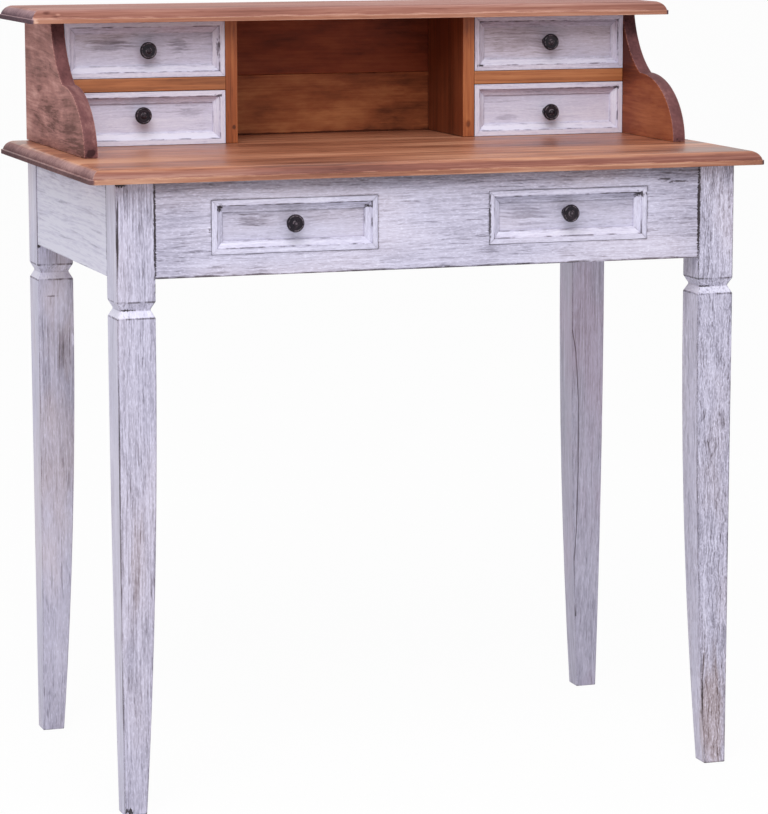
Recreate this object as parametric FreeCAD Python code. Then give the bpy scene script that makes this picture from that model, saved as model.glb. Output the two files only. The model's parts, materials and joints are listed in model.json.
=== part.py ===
import FreeCAD, Part
import math
import os

# Small writing desk with a hutch. Four square legs, tapered on their inner faces, carry an
# apron with two drawers and a moulded desk top. The hutch on top holds a pigeonhole between
# two stacks of small drawers, and its sides are cut to an ogee.
# Millimetres. X runs to the right, Y to the back, Z up. The origin is on the floor below the
# middle of the desk top, and the front faces -Y.

# Desk top
desk_width = 913.0
desk_depth = 530.0
writing_height = 830.0
desk_top_thickness = 18.0

# Moulded edge of both tops, from the upper arris down: round, ledge, lip
edge_round_reach = 14.5
edge_ledge = 3.5
edge_lip = 6.0
corner_ease = 9.0

# Legs: a square block, a V-shaped neck and a long taper with a slight swell
side_overhang = 36.5
front_overhang = 21.0
rear_overhang = 11.0
leg_block = 50.0
leg_mid_width = 45.5
leg_foot = 30.0
leg_lean = 1.0
block_below_apron = 28.5
neck_height = 20.5
neck_depth = 5.5
neck_apex_share = 0.5

# Apron rails, tenoned into the legs
apron_height = 122.0
apron_thickness = 20.0
apron_setback = 1.0
tenon_thickness = 10.0
tenon_length = 28.0
tenon_shoulder = 16.0
mortise_end_gap = 1.0

# Blocks that brace the corners of the apron
corner_block_reach = 90.0
corner_block_height = 30.0

# Openings for the desk drawers in the front rail, as shares of its span between the legs
desk_bay_width_share = 0.29865
desk_bay_spacing_share = 0.5027
rail_below_bay = 27.5
rail_above_bay = 25.0
desk_drawer_depth = 360.0
desk_side_height = 56.0

# Runners that carry and guide the desk drawers
runner_height = 20.0
runner_reach = 14.0
guide_width = 12.0
guide_height = 14.0
stop_length = 14.0
runner_housing = 6.0

# Hutch
hutch_rear_inset = 6.0
hutch_face_depth = 161.0
hutch_side_thickness = 18.0
divider_thickness = 17.0
pigeonhole_width_share = 0.40423
lower_bay_height = 73.0
upper_bay_height = 76.0
shelf_thickness = 18.0
shelf_housing = 5.0
shelf_stop = 12.0
back_thickness = 15.0
back_rabbet = 8.0
back_tongue = 5.0
hutch_side_height = 60.0

# Ogee front edge of the hutch sides: depths are measured from the rear of the hutch
ogee_foot_depth = 341.0
ogee_shoulder_depth = 222.0
ogee_top_depth = 159.0
ogee_shoulder_height = 88.0
ogee_hollow = 11.0

# Hutch top, grooved to receive the sides and dividers
hutch_top_thickness = 18.0
hutch_top_depth = 204.0
hutch_top_overhang = 36.5
hutch_top_rear_overhang = 3.0
hutch_top_groove = 5.0

# Stub tenons that hold the hutch sides and dividers in the desk top
stub_thickness = 8.0
stub_length = 44.0
stub_depth = 10.0
stub_place_shares = (0.25, 0.75)

# Drawer boxes
drawer_gap = 0.6
front_board = 12.0
front_lap = 6.0
drawer_side_thickness = 10.0
drawer_back_thickness = 10.0
drawer_back_housing = 4.0
drawer_back_setin = 6.0
drawer_back_drop = 6.0
drawer_bottom_thickness = 4.0
drawer_bottom_lift = 5.0
drawer_bottom_groove = 4.0

# Mitred moulding on the drawer fronts: flat rim, small step, hollow slope down to a toe
moulding_width = 16.0
moulding_depth = 8.5
moulding_rim = 7.0
moulding_step = 1.3
moulding_toe = 1.8
moulding_hollow = 0.8

# Cast knobs, turned about a shank that passes through the front board
knob_radius = 11.6
knob_height = 20.5
knob_shank_radius = 2.5
knob_facets = 24
knob_outline_shares = (
    (0.60, 0.0), (0.58, 0.07), (0.40, 0.16), (0.36, 0.36), (0.50, 0.54), (0.86, 0.66),
    (1.0, 0.78), (0.95, 0.90), (0.82, 0.95), (0.72, 0.91), (0.34, 0.92), (0.28, 1.0),
)

# Knobs set by eye: how far each stands to the right of its drawer's middle, and above it
knob_offsets = {
    "desk_drawer_left": (-2.3, 2.7),
    "desk_drawer_right": (0.0, 3.1),
    "hutch_drawer_upper_left": (2.0, -0.9),
    "hutch_drawer_upper_right": (-1.0, 0.9),
    "hutch_drawer_lower_left": (-5.9, 4.6),
    "hutch_drawer_lower_right": (0.0, -4.3),
}

# Screws that hold the desk top down from the corner blocks
screw_radius = 2.2
screw_head_radius = 4.2
screw_head_height = 2.6
screw_length = 41.0

# Fits
glue_gap = 0.1
pin_gap = 0.1
overrun = 5.0

# Places worked out from the sizes above
leg_height = writing_height - desk_top_thickness
apron_bottom = leg_height - apron_height
block_bottom = apron_bottom - block_below_apron
taper_top = block_bottom - neck_height
leg_outer_x = desk_width / 2 - side_overhang
leg_inner_x = leg_outer_x - leg_block
leg_front_y = front_overhang - desk_depth / 2
leg_rear_y = desk_depth / 2 - rear_overhang
apron_front_y = leg_front_y + apron_setback
apron_rear_y = leg_rear_y - apron_setback
apron_outer_x = leg_outer_x - apron_setback
front_span = 2 * leg_inner_x
side_span = leg_rear_y - leg_front_y - 2 * leg_block
side_middle_y = (leg_rear_y + leg_front_y) / 2
desk_bay_width = front_span * desk_bay_width_share
desk_bay_spacing = front_span * desk_bay_spacing_share
desk_bay_height = apron_height - rail_below_bay - rail_above_bay
desk_bay_floor = apron_bottom + rail_below_bay

hutch_rear_y = desk_depth / 2 - hutch_rear_inset
hutch_face_y = hutch_rear_y - hutch_face_depth
hutch_back_y = hutch_rear_y - back_thickness
hutch_outer_x = leg_outer_x
hutch_inner_x = hutch_outer_x - hutch_side_thickness
divider_inner_x = hutch_inner_x * pigeonhole_width_share
divider_outer_x = divider_inner_x + divider_thickness
shelf_floor = writing_height + lower_bay_height
upper_bay_floor = shelf_floor + shelf_thickness
hutch_ceiling = upper_bay_floor + upper_bay_height
hutch_bay_width = hutch_inner_x - divider_outer_x
hutch_bay_x = (hutch_inner_x + divider_outer_x) / 2

SIDES = {"left": -1, "right": 1}
HUTCH_BAYS = {
    "upper": (upper_bay_floor, upper_bay_height),
    "lower": (writing_height, lower_bay_height),
}


def at(x, y, z):
    return FreeCAD.Vector(x, y, z)


def block(low, high):
    """Box between two opposite corners, given in any order."""
    near = [min(a, b) for a, b in zip(low, high)]
    size = [abs(b - a) for a, b in zip(low, high)]
    return Part.makeBox(*size, at(*near))


def lines(points):
    return [Part.makeLine(a, b) for a, b in zip(points, points[1:])]


def swept(edges, along):
    """Solid swept straight from a closed run of edges."""
    return Part.Face(Part.Wire(edges)).extrude(along)


def moved(shape, x, y, z):
    copy = shape.copy()
    copy.translate(at(x, y, z))
    return copy


def turned(shape, centre, axis, degrees):
    copy = shape.copy()
    copy.rotate(centre, axis, degrees)
    return copy


def moulded_profile(half, thickness, place):
    """Section of a moulded board; place takes a distance from its middle, and a height."""
    shoulder = half - edge_ledge
    flat = shoulder - edge_round_reach
    rise = thickness - edge_lip
    half_turn = math.atan2(rise, edge_round_reach)
    radius = math.hypot(rise, edge_round_reach) / (2 * math.sin(half_turn))
    middle_out = flat + radius * math.sin(half_turn)
    middle_up = thickness - radius * (1 - math.cos(half_turn))
    right = [place(half, 0), place(half, edge_lip), place(shoulder, edge_lip)]
    level = [place(flat, thickness), place(-flat, thickness)]
    left = [place(-shoulder, edge_lip), place(-half, edge_lip), place(-half, 0), place(half, 0)]
    right_round = Part.Arc(right[-1], place(middle_out, middle_up), level[0]).toShape()
    left_round = Part.Arc(level[1], place(-middle_out, middle_up), left[0]).toShape()
    return lines(right) + [right_round] + lines(level) + [left_round] + lines(left)


def moulded_top(width, depth, thickness):
    """Board with a round, a ledge and a lip worked on its edges, mitred at the corners."""
    across = moulded_profile(width / 2, thickness, lambda out, up: at(out, -depth / 2, up))
    along = moulded_profile(depth / 2, thickness, lambda out, up: at(-width / 2, out, up))
    board = swept(across, at(0, depth, 0)).common(swept(along, at(width, 0, 0))).Solids[0]
    lip_corners = [
        edge for edge in board.Edges
        if edge.BoundBox.DiagonalLength == edge.BoundBox.ZLength and edge.BoundBox.ZMin < edge_lip / 2
    ]
    return board.makeFillet(corner_ease, lip_corners)


def leg_profile(place):
    """Outline of a leg seen square on; place takes a distance in from the outer face, and a height."""
    apex = taper_top + neck_height * neck_apex_share
    outer = [
        place(leg_lean, 0),
        place(0, taper_top),
        place(neck_depth, apex),
        place(0, block_bottom),
        place(0, leg_height),
    ]
    inner = [
        place(leg_block, leg_height),
        place(leg_block, block_bottom),
        place(leg_block - neck_depth, apex),
        place(leg_block, taper_top),
    ]
    middle = place(leg_lean / 2 + leg_mid_width, taper_top / 2)
    foot = place(leg_lean + leg_foot, 0)
    taper = Part.Arc(inner[-1], middle, foot).toShape()
    return lines(outer + inner) + [taper, Part.makeLine(foot, outer[0])]


def leg(side, end):
    """Square leg where two swept profiles cross; side and end are -1 for left and front."""
    outer_x = side * leg_outer_x
    outer_y = leg_front_y if end < 0 else leg_rear_y
    across = leg_profile(lambda inward, up: at(outer_x - side * inward, outer_y, up))
    along = leg_profile(lambda inward, up: at(outer_x, outer_y - end * inward, up))
    shape = swept(across, at(0, -end * leg_block, 0)).common(swept(along, at(-side * leg_block, 0, 0)))
    for tenons in (front_tenons, rear_tenons, left_tenons, right_tenons):
        shape = shape.cut(tenons(glue_gap, mortise_end_gap))
    return shape.Solids[0]


def rail_tenons(span, grow, longer):
    """Pair of tenons at the ends of a rail that lies along X, its outer face on Y = 0."""
    near = (apron_thickness - tenon_thickness) / 2
    low = tenon_shoulder - grow
    high = apron_height - tenon_shoulder + grow
    pair = []
    for side in SIDES.values():
        root = side * span / 2
        tip = root + side * (tenon_length + longer)
        pair.append(block((root, near - grow, low), (tip, near + tenon_thickness + grow, high)))
    return Part.Compound(pair)


def rail(span):
    board = block((-span / 2, 0, 0), (span / 2, apron_thickness, apron_height))
    return board.fuse(rail_tenons(span, 0, 0).Solids).removeSplitter()


def to_front(shape):
    return moved(shape, 0, apron_front_y, apron_bottom)


def to_rear(shape):
    return moved(turned(shape, at(0, 0, 0), at(0, 0, 1), 180), 0, apron_rear_y, apron_bottom)


def to_left(shape):
    return moved(turned(shape, at(0, 0, 0), at(0, 0, 1), -90), -apron_outer_x, side_middle_y, apron_bottom)


def to_right(shape):
    return moved(turned(shape, at(0, 0, 0), at(0, 0, 1), 90), apron_outer_x, side_middle_y, apron_bottom)


def front_tenons(grow, longer):
    return to_front(rail_tenons(front_span, grow, longer))


def rear_tenons(grow, longer):
    return to_rear(rail_tenons(front_span, grow, longer))


def left_tenons(grow, longer):
    return to_left(rail_tenons(side_span, grow, longer))


def right_tenons(grow, longer):
    return to_right(rail_tenons(side_span, grow, longer))


def runner_places():
    """Name, X of the bay's edge, and the way from that edge to the drawer, for each runner."""
    for name, side in SIDES.items():
        middle = side * desk_bay_spacing / 2
        for edge_name, way in (("outer", -side), ("inner", side)):
            yield name + "_" + edge_name, middle - way * desk_bay_width / 2, way


def runner_carrier(edge_x, way, grow):
    """Bar below the bay floor, let into the front and rear rails."""
    front = apron_front_y + apron_thickness - runner_housing - grow
    rear = apron_rear_y - apron_thickness + runner_housing + grow
    low = desk_bay_floor - runner_height - grow
    outer = edge_x - way * (guide_width + grow)
    return block((outer, front, low), (edge_x + way * (runner_reach + grow), rear, desk_bay_floor))


def drawer_runner(edge_x, way):
    """Carrier bar with a guide along the drawer's side and a stop behind it."""
    front = apron_front_y + apron_thickness
    rear = apron_rear_y - apron_thickness
    top = desk_bay_floor + guide_height
    stop_y = apron_front_y + desk_drawer_depth
    guide = block((edge_x - way * guide_width, front, desk_bay_floor), (edge_x, rear, top))
    stop_end = edge_x + way * runner_reach
    stop = block((edge_x, stop_y, desk_bay_floor), (stop_end, stop_y + stop_length, top))
    return runner_carrier(edge_x, way, 0).fuse([guide, stop]).removeSplitter()


def front_apron():
    """Front rail with the two drawer bays and the housings for their runners."""
    shape = to_front(rail(front_span))
    ceiling = desk_bay_floor + desk_bay_height
    for side in SIDES.values():
        middle = side * desk_bay_spacing / 2
        low = (middle - desk_bay_width / 2, apron_front_y - overrun, desk_bay_floor)
        high = (middle + desk_bay_width / 2, apron_front_y + apron_thickness + overrun, ceiling)
        shape = shape.cut(block(low, high))
    for _, edge_x, way in runner_places():
        shape = shape.cut(runner_carrier(edge_x, way, glue_gap))
    return shape


def rear_apron():
    shape = to_rear(rail(front_span))
    for _, edge_x, way in runner_places():
        shape = shape.cut(runner_carrier(edge_x, way, glue_gap))
    return shape


def corner_places():
    for side in SIDES.values():
        for end in (-1, 1):
            corner_x = side * (apron_outer_x - apron_thickness)
            corner_y = apron_front_y + apron_thickness if end < 0 else apron_rear_y - apron_thickness
            yield side, end, corner_x, corner_y


def screw_axis(side, end, corner_x, corner_y):
    """Foot of a screw under a corner block, halfway from the leg to the brace's long face."""
    leg_in_x = abs(corner_x) - leg_inner_x
    leg_in_y = abs(corner_y - leg_corner_y(end))
    spare = (corner_block_reach - leg_in_x - leg_in_y) / 4
    x = corner_x - side * (leg_in_x + spare)
    y = corner_y - end * (leg_in_y + spare)
    return at(x, y, leg_height - corner_block_height)


def leg_corner_y(end):
    return leg_front_y + leg_block if end < 0 else leg_rear_y - leg_block


def screw_hole(place):
    return Part.makeCylinder(screw_radius + pin_gap, screw_length + pin_gap, screw_axis(*place))


def top_screw(place):
    """Flat-headed screw that stands point up, its head against a corner block."""
    foot = screw_axis(*place)
    head = Part.makeCylinder(screw_head_radius, screw_head_height, foot - at(0, 0, screw_head_height))
    return head.fuse(Part.makeCylinder(screw_radius, screw_length, foot))


def corner_block(place):
    """Three-cornered brace in the angle of two rails, notched round the leg."""
    side, end, corner_x, corner_y = place
    low = leg_height - corner_block_height
    outline = [
        at(corner_x, corner_y, low),
        at(corner_x - side * corner_block_reach, corner_y, low),
        at(corner_x, corner_y - end * corner_block_reach, low),
        at(corner_x, corner_y, low),
    ]
    brace = swept(lines(outline), at(0, 0, corner_block_height))
    far_corner = (side * leg_inner_x, leg_corner_y(end), leg_height + overrun)
    notch = block((corner_x, corner_y, low - overrun), far_corner)
    return brace.cut([notch, screw_hole(place)]).Solids[0]


def stub_tenons(x, rear, depth, grow):
    """Stub tenons below an upright panel; grow widens them into their mortises."""
    half_x = stub_thickness / 2 + grow
    half_y = stub_length / 2 + grow
    low = writing_height - stub_depth - grow
    made = []
    for share in stub_place_shares:
        y = rear - share * depth
        made.append(block((x - half_x, y - half_y, low), (x + half_x, y + half_y, writing_height)))
    return made


def side_stubs(side, grow):
    x = side * (hutch_outer_x - hutch_side_thickness / 2)
    return stub_tenons(x, hutch_rear_y, ogee_foot_depth, grow)


def divider_stubs(side, grow):
    x = side * (divider_inner_x + divider_thickness / 2)
    return stub_tenons(x, hutch_back_y, hutch_back_y - hutch_face_y, grow)


def desk_top():
    """Moulded board, mortised for the hutch and bored for the screws from the corner blocks."""
    shape = moved(moulded_top(desk_width, desk_depth, desk_top_thickness), 0, 0, leg_height)
    holes = [screw_hole(place) for place in corner_places()]
    for side in SIDES.values():
        holes += side_stubs(side, glue_gap) + divider_stubs(side, glue_gap)
    return shape.cut(holes)


def hutch_side(side):
    """Upright panel whose front edge runs in a hollow to a shoulder, then swells to its foot."""
    top = hutch_ceiling + hutch_top_groove
    outer_x = side * hutch_outer_x
    foot = at(outer_x, hutch_rear_y - ogee_foot_depth, writing_height)
    shoulder = at(outer_x, hutch_rear_y - ogee_shoulder_depth, writing_height + ogee_shoulder_height)
    neck = at(outer_x, hutch_rear_y - ogee_top_depth, hutch_ceiling)
    chord = neck - shoulder
    sunk = at(0, chord.z, -chord.y).normalize() * ogee_hollow
    hollow = Part.Arc(neck, (neck + shoulder) / 2 + sunk, shoulder).toShape()
    swell = Part.BezierCurve()
    swell.setPoles([shoulder, at(outer_x, foot.y, shoulder.z), foot])
    swell.setWeight(2, math.sqrt(1 / 2))
    straight = [
        foot,
        at(outer_x, hutch_rear_y, writing_height),
        at(outer_x, hutch_rear_y, top),
        at(outer_x, neck.y, top),
        neck,
    ]
    panel = swept(lines(straight) + [hollow, swell.toShape()], at(-side * hutch_side_thickness, 0, 0))
    inner_x = side * hutch_inner_x
    rabbet_end = (inner_x + side * (back_rabbet + glue_gap), hutch_rear_y + overrun, hutch_ceiling)
    rabbet = block((inner_x, hutch_back_y, writing_height - overrun), rabbet_end)
    return panel.cut([rabbet, shelf_tongue(side, glue_gap)]).fuse(side_stubs(side, 0)).removeSplitter()


def hutch_divider(side):
    """Upright between the pigeonhole and a stack of drawers."""
    top = hutch_ceiling + hutch_top_groove
    low = (side * divider_inner_x, hutch_face_y, writing_height)
    panel = block(low, (side * divider_outer_x, hutch_back_y, top))
    return panel.cut(shelf_tongue(side, glue_gap)).fuse(divider_stubs(side, 0)).removeSplitter()


def shelf_tongue(side, grow):
    """Length of a shelf that lies in its housings, stopped short of the front; grow lengthens it."""
    near = divider_outer_x - shelf_housing - grow
    far = hutch_inner_x + shelf_housing + grow
    front = hutch_face_y + shelf_stop - grow
    return block((side * near, front, shelf_floor), (side * far, hutch_back_y, upper_bay_floor))


def hutch_shelf(side):
    """Shelf under an upper drawer, housed in the side and the divider out of sight from the front."""
    near = (side * divider_outer_x, hutch_face_y, shelf_floor)
    board = block(near, (side * hutch_inner_x, hutch_back_y, upper_bay_floor))
    return board.fuse(shelf_tongue(side, 0)).removeSplitter()


def hutch_back(name):
    """One of the two boards of the back, tongued together at mid-height."""
    middle = (writing_height + hutch_ceiling) / 2
    half = hutch_inner_x + back_rabbet
    tongue_y = (hutch_back_y + hutch_rear_y - back_tongue) / 2

    def tongue(grow):
        rear = tongue_y + back_tongue + grow
        return block((-half, tongue_y - grow, middle), (half, rear, middle + back_tongue + grow))

    if name == "upper":
        return block((-half, hutch_back_y, middle), (half, hutch_rear_y, hutch_ceiling)).cut(tongue(glue_gap))
    board = block((-half, hutch_back_y, writing_height), (half, hutch_rear_y, middle))
    return board.fuse(tongue(0)).removeSplitter()


def hutch_top():
    """Moulded top with grooves below for the heads of the sides and dividers."""
    width = 2 * (hutch_outer_x + hutch_top_overhang)
    middle_y = hutch_rear_y + hutch_top_rear_overhang - hutch_top_depth / 2
    shape = moved(moulded_top(width, hutch_top_depth, hutch_top_thickness), 0, middle_y, hutch_ceiling)
    top = hutch_ceiling + hutch_top_groove
    low = hutch_ceiling - overrun
    for side in SIDES.values():
        side_front = hutch_rear_y - ogee_top_depth - glue_gap
        near = side * (hutch_inner_x - glue_gap)
        far = side * (hutch_outer_x + glue_gap)
        shape = shape.cut(block((near, side_front, low), (far, hutch_rear_y + glue_gap, top)))
        near = side * (divider_inner_x - glue_gap)
        far = side * (divider_outer_x + glue_gap)
        shape = shape.cut(block((near, hutch_face_y - glue_gap, low), (far, hutch_back_y + glue_gap, top)))
    return shape


def moulding_strip(length, reach, centre, rear_y):
    """Moulding below the centre, its outer edge a reach away, both ends mitred."""
    slope_top = moulding_depth - moulding_step
    edge_z = centre.z - reach

    def section(inward, proud):
        return at(centre.x - length / 2, rear_y - proud, edge_z + inward)

    rim = [
        section(0, 0),
        section(0, moulding_depth),
        section(moulding_rim, moulding_depth),
        section(moulding_rim, slope_top),
    ]
    toe = [section(moulding_width, moulding_toe), section(moulding_width, 0), section(0, 0)]
    run = moulding_width - moulding_rim
    fall = slope_top - moulding_toe
    sink = moulding_hollow / math.hypot(run, fall)
    middle = section(moulding_rim + run / 2 - fall * sink, moulding_toe + fall / 2 - run * sink)
    slope = Part.Arc(rim[-1], middle, toe[0]).toShape()
    bar = swept(lines(rim) + [slope] + lines(toe), at(length, 0, 0))
    half = length / 2
    corners = [
        at(centre.x - half, rear_y, edge_z),
        at(centre.x + half, rear_y, edge_z),
        at(centre.x + half - moulding_width, rear_y, edge_z + moulding_width),
        at(centre.x - half + moulding_width, rear_y, edge_z + moulding_width),
        at(centre.x - half, rear_y, edge_z),
    ]
    return bar.common(swept(lines(corners), at(0, -moulding_depth, 0))).Solids[0]


def moulding(width, height, centre, rear_y):
    """Four mitred strips round the front board."""
    strips = []
    for quarter in range(4):
        upright = quarter % 2 == 1
        length = height if upright else width
        reach = (width if upright else height) / 2
        strip = moulding_strip(length, reach, centre, rear_y)
        strips.append(turned(strip, centre, at(0, 1, 0), 90 * quarter))
    return Part.Compound(strips)


def faceted_turning(foot, outline):
    """Turned form about -Y in flat facets; the outline gives radii and distances out from the foot."""
    def ring(radius, out):
        turns = [2 * math.pi * step / knob_facets for step in range(knob_facets)]
        return [foot + at(radius * math.cos(turn), -out, radius * math.sin(turn)) for turn in turns]

    rings = [ring(radius, out) for radius, out in outline]
    flats = [rings[0][::-1], rings[-1]]
    for lower, upper in zip(rings, rings[1:]):
        for step in range(knob_facets):
            before = step - 1
            flats.append([lower[before], lower[step], upper[step], upper[before]])
    faces = [Part.Face(Part.makePolygon(flat + flat[:1])) for flat in flats]
    return Part.Solid(Part.Shell(faces))


def knob(foot):
    """Mushroom knob with a dished face and a centre button, and its shank in the front board."""
    shank = [(knob_shank_radius, -front_board), (knob_shank_radius, 0)]
    head = [(radius * knob_radius, out * knob_height) for radius, out in knob_outline_shares]
    return faceted_turning(foot, shank + head)


def drawer(bay, depth, side_height, knob_offset):
    """Pieces of one drawer, named by what they are; bay is its middle X, face Y, floor, width and height."""
    middle_x, face_y, floor, width, height = bay
    half = width / 2 - drawer_gap
    low = floor + drawer_gap
    high = floor + height - drawer_gap
    field_y = face_y + moulding_depth
    board_rear = field_y + front_board
    side_front = board_rear - front_lap
    rear = face_y + depth
    inner = half - drawer_side_thickness
    centre = at(middle_x, field_y, (low + high) / 2)
    knob_across, knob_up = knob_offset

    back_rear = rear - drawer_back_setin
    back_front = back_rear - drawer_back_thickness
    panel_low = floor + drawer_bottom_lift
    panel_high = panel_low + drawer_bottom_thickness
    side_top = floor + side_height

    def spanning(reach, front, back, bottom, top):
        return block((middle_x - reach, front, bottom), (middle_x + reach, back, top))

    def back(grow):
        top = side_top - drawer_back_drop + grow
        reach = inner + drawer_back_housing + grow
        return spanning(reach, back_front - grow, back_rear + grow, panel_high + glue_gap - grow, top)

    def bottom(grow):
        reach = inner + drawer_bottom_groove + grow
        front = board_rear - drawer_bottom_groove - grow
        return spanning(reach, front, back_rear, panel_low, panel_high + grow)

    board = spanning(half, field_y, board_rear, low, high)
    knob_foot = centre + at(knob_across, 0, knob_up)
    hole = Part.makeCylinder(knob_shank_radius + pin_gap, front_board, knob_foot, at(0, 1, 0))
    board = board.cut([bottom(glue_gap), hole])
    sides = []
    for side in SIDES.values():
        outer_x = middle_x + side * half
        inner_x = middle_x + side * inner
        plank = block((outer_x, side_front, floor), (inner_x, rear, side_top))
        lap_end = (inner_x - side * glue_gap, board_rear, side_top + glue_gap)
        board = board.cut(block((outer_x, side_front, low - overrun), lap_end))
        sides.append(plank.cut([back(glue_gap), bottom(glue_gap)]))
    return {
        "front": board,
        "moulding": moulding(2 * half, high - low, centre, field_y),
        "sides": Part.Compound(sides),
        "back": back(0),
        "bottom": bottom(0),
        "knob": knob(knob_foot),
    }


def frame_pieces():
    """Everything that stands still."""
    pieces = {}
    for side_name, side in SIDES.items():
        pieces["leg_front_" + side_name] = leg(side, -1)
        pieces["leg_rear_" + side_name] = leg(side, 1)
        pieces["hutch_side_" + side_name] = hutch_side(side)
        pieces["hutch_divider_" + side_name] = hutch_divider(side)
        pieces["hutch_shelf_" + side_name] = hutch_shelf(side)
    pieces["front_apron"] = front_apron()
    pieces["rear_apron"] = rear_apron()
    pieces["left_apron"] = to_left(rail(side_span))
    pieces["right_apron"] = to_right(rail(side_span))
    pieces["desk_top"] = desk_top()
    pieces["hutch_top"] = hutch_top()
    pieces["hutch_back_upper"] = hutch_back("upper")
    pieces["hutch_back_lower"] = hutch_back("lower")
    pieces["corner_blocks"] = Part.Compound([corner_block(place) for place in corner_places()])
    pieces["top_screws"] = Part.Compound([top_screw(place) for place in corner_places()])
    for name, edge_x, way in runner_places():
        pieces["drawer_runner_" + name] = drawer_runner(edge_x, way)
    return pieces


def drawer_pieces():
    """The six drawers, two in the apron and four in the hutch."""
    rows = []
    for side_name, side in SIDES.items():
        desk_x = side * desk_bay_spacing / 2
        desk_bay = (desk_x, apron_front_y, desk_bay_floor, desk_bay_width, desk_bay_height)
        rows.append(("desk_drawer_" + side_name, desk_bay, desk_drawer_depth, desk_side_height))
        for level, (floor, height) in HUTCH_BAYS.items():
            bay = (side * hutch_bay_x, hutch_face_y, floor, hutch_bay_width, height)
            name = "hutch_drawer_" + level + "_" + side_name
            rows.append((name, bay, hutch_back_y - hutch_face_y, hutch_side_height))
    pieces = {}
    for name, bay, depth, side_height in rows:
        for piece, shape in drawer(bay, depth, side_height, knob_offsets[name]).items():
            pieces[name + "_" + piece] = shape
    return pieces


os.makedirs("parts", exist_ok=True)
for node, solid in {**frame_pieces(), **drawer_pieces()}.items():
    solid.exportStep("parts/" + node + ".step")
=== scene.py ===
import json
import math

import bmesh
import bpy
from mathutils import Matrix, Vector


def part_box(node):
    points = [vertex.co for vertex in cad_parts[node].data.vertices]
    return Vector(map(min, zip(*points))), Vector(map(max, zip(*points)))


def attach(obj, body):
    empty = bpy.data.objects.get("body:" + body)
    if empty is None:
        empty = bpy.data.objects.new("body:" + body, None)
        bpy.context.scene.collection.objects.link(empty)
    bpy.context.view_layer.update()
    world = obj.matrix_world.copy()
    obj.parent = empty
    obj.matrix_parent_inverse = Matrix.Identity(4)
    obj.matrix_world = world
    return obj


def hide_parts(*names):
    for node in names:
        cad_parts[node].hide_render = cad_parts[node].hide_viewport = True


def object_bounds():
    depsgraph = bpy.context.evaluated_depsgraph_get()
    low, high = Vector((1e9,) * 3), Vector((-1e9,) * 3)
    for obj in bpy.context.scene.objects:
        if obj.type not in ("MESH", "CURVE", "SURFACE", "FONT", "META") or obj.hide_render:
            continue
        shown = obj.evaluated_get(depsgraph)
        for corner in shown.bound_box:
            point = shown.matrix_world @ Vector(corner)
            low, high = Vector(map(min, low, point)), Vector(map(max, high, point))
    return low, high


# Looks of a small writing desk with a hutch: whitewashed legs, aprons and drawer fronts, brown
# varnished tops and hutch, dark iron knobs. Metres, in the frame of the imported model.

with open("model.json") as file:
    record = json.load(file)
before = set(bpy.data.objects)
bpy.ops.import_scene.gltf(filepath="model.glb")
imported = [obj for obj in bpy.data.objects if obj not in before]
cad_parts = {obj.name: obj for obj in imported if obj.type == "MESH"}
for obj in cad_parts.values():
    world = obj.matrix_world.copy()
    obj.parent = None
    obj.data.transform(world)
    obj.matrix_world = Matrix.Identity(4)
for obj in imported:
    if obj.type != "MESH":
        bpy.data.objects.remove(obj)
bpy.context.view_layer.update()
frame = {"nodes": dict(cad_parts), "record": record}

# Camera, fitted to the corners of the desk in the photograph
CAMERA_PLACE = Vector((-1.4278, -4.3006, 1.1856))
CAMERA_AZIMUTH = math.radians(-18.526)
CAMERA_ELEVATION = math.radians(8.938)
CAMERA_ROLL = math.radians(0.095)
CAMERA_LENS_MM = 148.64
CAMERA_SENSOR_MM = 36.0

# Light; the camera and reflections see the world brighter than it shines
WORLD_STRENGTH = 0.60
WORLD_SEEN_STRENGTH = 1.0
KEY_PLACE = Vector((-1.1, -2.5, 3.3))
KEY_SIZE = 2.6
KEY_WATTS = 92.0

# Softened arrises
ARRIS_WIDTH = 0.0011
TOP_ARRIS = 0.0008
SCREW_ARRIS = 0.0003
FINE_ARRIS = 0.0001
ARRIS_STEPS = 2
SHARP_ANGLE = math.radians(28)
FLAT_ANGLE = math.radians(0.4)
WELD_GAP = 1e-6

# Ways that faces look, and the cosines at which a sloping face begins to count and counts in full
LEFT = (-1.0, 0.0, 0.0)
RIGHT = (1.0, 0.0, 0.0)
FRONT = (0.0, -1.0, 0.0)
REAR = (0.0, 1.0, 0.0)
UP = (0.0, 0.0, 1.0)
DOWN = (0.0, 0.0, -1.0)
OUTWARD = {"left": LEFT, "right": RIGHT}
INWARD = {"left": RIGHT, "right": LEFT}
SLOPING = (0.3, 0.6)

DRAWERS = [name for name in frame["record"]["behaviour"]["bodies"] if "drawer" in name]

# Samples for edges and hollows, octaves of swaying grain, full core and ragged border of placed marks
OCCLUSION_SAMPLES = 6
WANDER_DETAIL = 2.0
MARK_CORE = 0.3
MARK_RAGGEDNESS = 2.2

# Steps in x, y and z from the wood of one piece to that of the next
FRESH_WOOD_SHARES = (1.0, 1.7, -0.6)


def srgb(red, green, blue):
    """Screen colour, 0 to 255, as the linear colour that shaders take."""
    def linear(level):
        level = level / 255
        return level / 12.92 if level <= 0.04045 else ((level + 0.055) / 1.055) ** 2.4
    return (linear(red), linear(green), linear(blue), 1.0)


def palette(*colours):
    return tuple(srgb(*colour) for colour in colours)


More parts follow.
